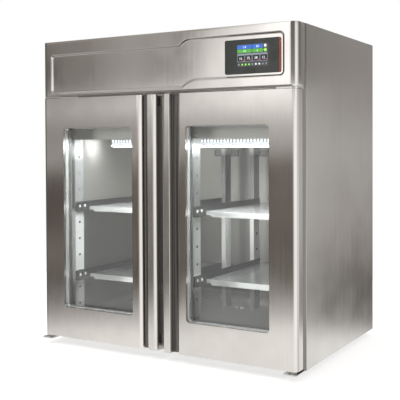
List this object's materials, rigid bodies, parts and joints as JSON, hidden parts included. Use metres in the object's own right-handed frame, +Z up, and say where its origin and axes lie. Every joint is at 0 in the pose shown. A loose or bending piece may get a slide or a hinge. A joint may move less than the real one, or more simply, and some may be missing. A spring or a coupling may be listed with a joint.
{
  "type": "dry aging cabinet",
  "caption": "Free-standing refrigerated dry aging cabinet in brushed stainless steel, with glazed side-hinged doors, slide-in shelves and a control header.",
  "frame": {"origin": "on the floor, under the middle of the cabinet's bounding box", "axes": "+X to the right as one faces the doors, +Y from the doors to the back, +Z up"},
  "size_m": [1.46, 0.995, 1.57],
  "materials": {
    "brushed_steel": "vertically brushed stainless steel",
    "polished_steel": "bright drawn stainless steel",
    "bright_steel": "machined stainless steel",
    "liner_steel": "smooth stainless lining sheet",
    "shelf_steel": "smooth stainless sheet",
    "slide_steel": "darkened stainless steel",
    "zinc_steel": "zinc-coated sheet steel",
    "lamp_aluminium": "satin anodised aluminium",
    "coil_aluminium": "plain aluminium fins",
    "copper": "drawn copper tube",
    "clear_glass": "clear safety glass",
    "screen_glass": "glossy dark screen",
    "black_gloss": "glossy black",
    "lamp_lens": "frosted lamp lens",
    "black_plastic": "matt black",
    "grey_plastic": "matt grey",
    "fan_plastic": "matt black moulding",
    "bush_plastic": "off-white acetal",
    "spacer_black": "matt black glazing spacer",
    "foam": "rigid insulating foam",
    "black_paint": "semi-gloss black paint",
    "gasket_rubber": "dark grey magnetic gasket"
  },
  "bodies": {
    "cabinet": {"left_side_panel": "brushed_steel", "right_side_panel": "brushed_steel", "back_panel": "zinc_steel", "top_cover": "zinc_steel", "base_pan": "zinc_steel", "levelling_feet": "black_plastic", "insulation": "foam", "liner_panels": "liner_steel", "face_frame": "brushed_steel", "centre_mullion": "brushed_steel", "header_frame": "zinc_steel", "header_fascia": "brushed_steel", "control_panel": "black_gloss", "touch_display": "screen_glass", "electrical_box": "zinc_steel", "top_hinge_brackets": "bright_steel", "bottom_hinge_brackets": "bright_steel", "hinge_pins": "bright_steel", "drain_spigot": "grey_plastic", "cord_gland": "black_plastic", "wall_rails": "liner_steel", "centre_posts": "liner_steel", "shelf_slides": "slide_steel", "led_housing": "lamp_aluminium", "led_lenses": "lamp_lens", "evaporator_cover": "liner_steel", "evaporator_coil": "coil_aluminium", "fan_guards": "black_plastic", "fan_motors": "black_paint", "air_grilles": "black_plastic", "left_lower_shelf": "shelf_steel", "left_upper_shelf": "shelf_steel", "right_lower_shelf": "shelf_steel", "right_upper_shelf": "shelf_steel", "unit_tray": "zinc_steel", "compressor": "black_paint", "condenser_coil": "coil_aluminium", "condenser_shroud": "black_paint", "refrigerant_line": "copper"},
    "left_door": {"left_door_shell": "brushed_steel", "left_door_core": "foam", "left_door_back_panel": "liner_steel", "left_door_handle": "polished_steel", "left_glazing_bead": "polished_steel", "left_glass_panes": "clear_glass", "left_glass_spacer": "spacer_black", "left_door_gasket": "gasket_rubber", "left_hinge_bushes": "bush_plastic"},
    "right_door": {"right_door_shell": "brushed_steel", "right_door_core": "foam", "right_door_back_panel": "liner_steel", "right_door_handle": "polished_steel", "right_glazing_bead": "polished_steel", "right_glass_panes": "clear_glass", "right_glass_spacer": "spacer_black", "right_door_gasket": "gasket_rubber", "right_hinge_bushes": "bush_plastic"},
    "left_evaporator_fan": {"evaporator_fan_left": "fan_plastic"},
    "right_evaporator_fan": {"evaporator_fan_right": "fan_plastic"},
    "condenser_fan_wheel": {"condenser_fan": "fan_plastic"}
  },
  "joints": [
    {"name": "left_door_hinge", "type": "hinge", "parent": "cabinet", "child": "left_door", "pos_m": [-0.697, -0.4585, 0.6], "axis": [0, 0, -1], "range_deg": [0, 110], "stiffness_Nm_per_rad": 1.5, "springref_deg": -17.19},
    {"name": "right_door_hinge", "type": "hinge", "parent": "cabinet", "child": "right_door", "pos_m": [0.697, -0.4585, 0.6], "axis": [0, 0, 1], "range_deg": [0, 110], "stiffness_Nm_per_rad": 1.5, "springref_deg": -17.19},
    {"name": "left_fan_spin", "type": "hinge", "parent": "cabinet", "child": "left_evaporator_fan", "pos_m": [-0.33, -0.0025, 1.11], "axis": [0, 0, 1], "continuous": true},
    {"name": "right_fan_spin", "type": "hinge", "parent": "cabinet", "child": "right_evaporator_fan", "pos_m": [0.33, -0.0025, 1.11], "axis": [0, 0, 1], "continuous": true},
    {"name": "condenser_fan_spin", "type": "hinge", "parent": "cabinet", "child": "condenser_fan_wheel", "pos_m": [0.04, 0.37, 1.4012], "axis": [0, 1, 0], "continuous": true}
  ]
}
